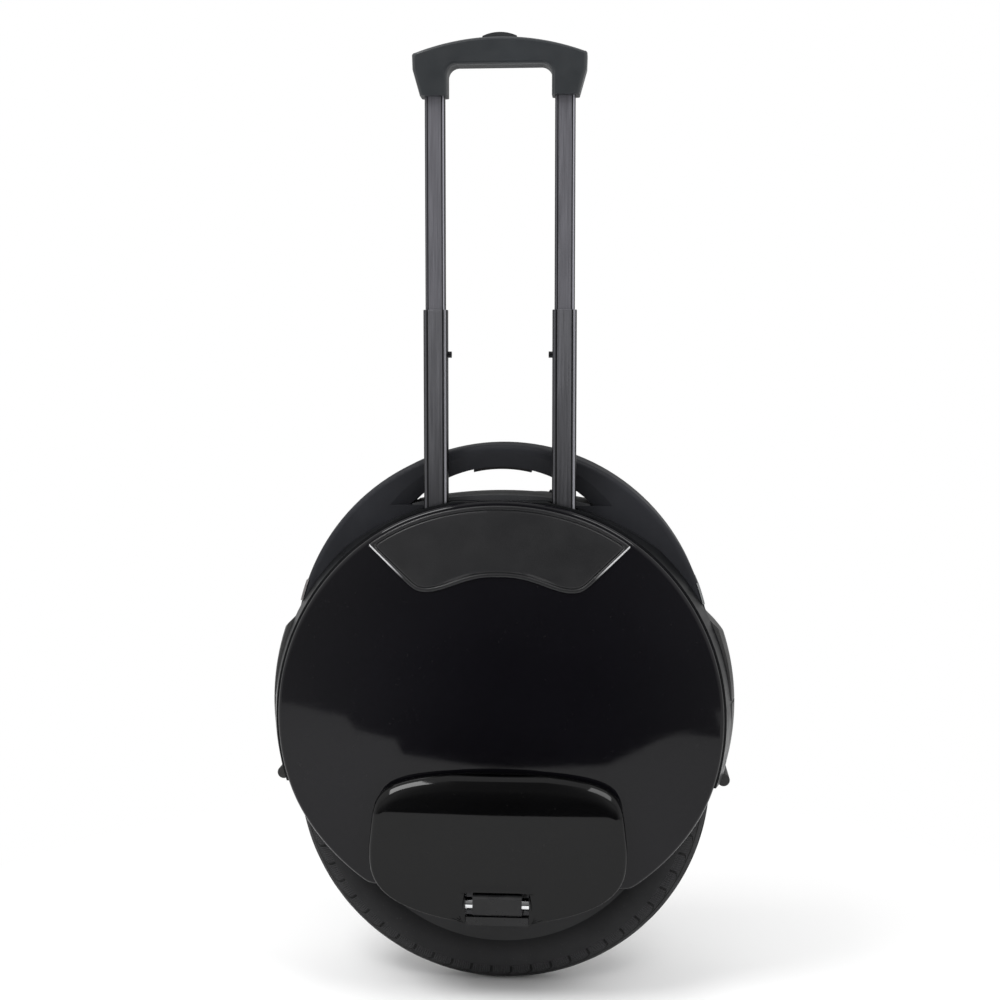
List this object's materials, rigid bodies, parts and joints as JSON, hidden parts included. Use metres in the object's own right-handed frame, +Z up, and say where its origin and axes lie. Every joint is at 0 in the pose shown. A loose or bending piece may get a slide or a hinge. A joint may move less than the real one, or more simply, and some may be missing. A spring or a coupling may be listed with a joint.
{
  "type": "electric unicycle",
  "caption": "Electric unicycle with glossy domed side covers, leg pads, folded pedals, an arched carry handle and a telescopic trolley handle pulled out.",
  "frame": {"origin": "on the ground under the wheel's middle, centred front to rear and side to side", "axes": "+X forward in the wheel's plane, +Y along the axle away from the trolley, +Z up"},
  "size_m": [0.454, 0.174, 0.9175],
  "materials": {
    "tyre_rubber": "matte ribbed rubber",
    "soft_rubber": "matte",
    "rim_alloy": "black anodised",
    "magnet": "nickel plated",
    "steel": "machined",
    "core_steel": "laminated",
    "copper": "enamelled wire",
    "hanger_alloy": "black, slightly rough",
    "chrome": "bright",
    "gloss_black": "high gloss",
    "charcoal": "fine grain",
    "bumper_black": "satin",
    "deck_grey": "satin",
    "lens": "smoked",
    "pad": "satin, fine texture",
    "pedal_tread": "rough",
    "battery": "shrink wrap",
    "heat_sink": "sawn",
    "board": "solder mask",
    "can": "sleeved",
    "cable": "matte",
    "contact": "bright",
    "tube_alloy": "dark anodised, drawn",
    "button": "satin"
  },
  "bodies": {
    "body": {"bearing_inner_races": "steel", "axle": "steel", "stator_carrier": "heat_sink", "stator_core": "core_steel", "stator_windings": "copper", "motor_cable": "cable", "hanger_near": "hanger_alloy", "hanger_far": "hanger_alloy", "hanger_bolts": "steel", "axle_nuts": "steel", "hinge_pins": "chrome", "fender_near": "charcoal", "fender_far": "charcoal", "deck_strip": "deck_grey", "bumper_front": "bumper_black", "bumper_rear": "bumper_black", "bumper_plugs": "soft_rubber", "headlight_lens": "lens", "tail_light_lens": "lens", "light_boards": "board", "pod_near": "charcoal", "pod_far": "charcoal", "side_cover_near": "gloss_black", "side_cover_far": "gloss_black", "leg_pad_near": "pad", "leg_pad_far": "pad", "battery_near": "battery", "batteries_far": "battery", "heat_sink": "heat_sink", "control_board": "board", "board_capacitors": "can", "power_switch": "button", "charge_port": "button", "charge_contacts": "contact", "charge_cap_pin": "steel", "trolley_sleeves": "tube_alloy"},
    "wheel": {"tyre": "tyre_rubber", "inner_tube": "soft_rubber", "valve_stem": "soft_rubber", "rim": "rim_alloy", "rotor_magnets": "magnet", "motor_cover_near": "rim_alloy", "motor_cover_far": "rim_alloy", "motor_cover_screws": "steel", "bearing_outer_races": "steel", "bearing_balls": "steel"},
    "pedal_near": {"pedal_near": "gloss_black", "pedal_tread_near": "pedal_tread"},
    "pedal_far": {"pedal_far": "gloss_black", "pedal_tread_far": "pedal_tread"},
    "trolley_mid": {"trolley_mid_tubes": "tube_alloy", "trolley_lock_pins": "steel"},
    "trolley_upper": {"trolley_upper_tubes": "tube_alloy", "grip_front": "charcoal", "grip_back": "charcoal", "grip_screws": "steel"},
    "release_button": {"release_button": "button"},
    "lift_button": {"lift_button": "button"},
    "power_button": {"power_button": "button"},
    "charge_cap": {"charge_cap": "soft_rubber"}
  },
  "joints": [
    {"name": "wheel_spin", "type": "hinge", "parent": "body", "child": "wheel", "pos_m": [0, 0, 0.204], "axis": [0, 1, 0], "continuous": true},
    {"name": "pedal_near_fold", "type": "hinge", "parent": "body", "child": "pedal_near", "pos_m": [0, -0.0775, 0.1005], "axis": [1, 0, 0], "range_deg": [0, 90]},
    {"name": "pedal_far_fold", "type": "hinge", "parent": "body", "child": "pedal_far", "pos_m": [0, 0.0775, 0.1005], "axis": [-1, 0, 0], "range_deg": [0, 90]},
    {"name": "trolley_lower_slide", "type": "slide", "parent": "body", "child": "trolley_mid", "axis": [0, 0, 1], "range_m": [-0.175, 0]},
    {"name": "trolley_upper_slide", "type": "slide", "parent": "trolley_mid", "child": "trolley_upper", "axis": [0, 0, 1], "range_m": [-0.195, 0]},
    {"name": "release_press", "type": "slide", "parent": "trolley_upper", "child": "release_button", "axis": [0, 0, -1], "range_m": [0, 0.004], "stiffness_N_per_m": 600, "springref_m": -0.002},
    {"name": "lift_press", "type": "slide", "parent": "body", "child": "lift_button", "axis": [0, 0, 1], "range_m": [0, 0.003], "stiffness_N_per_m": 600, "springref_m": -0.002},
    {"name": "power_press", "type": "slide", "parent": "body", "child": "power_button", "axis": [0, 0, -1], "range_m": [0, 0.0012], "stiffness_N_per_m": 800, "springref_m": -0.001},
    {"name": "charge_cap_open", "type": "hinge", "parent": "body", "child": "charge_cap", "pos_m": [0.0452, 0.0435, 0.4842], "axis": [0, 1, 0], "range_deg": [0, 110]}
  ]
}
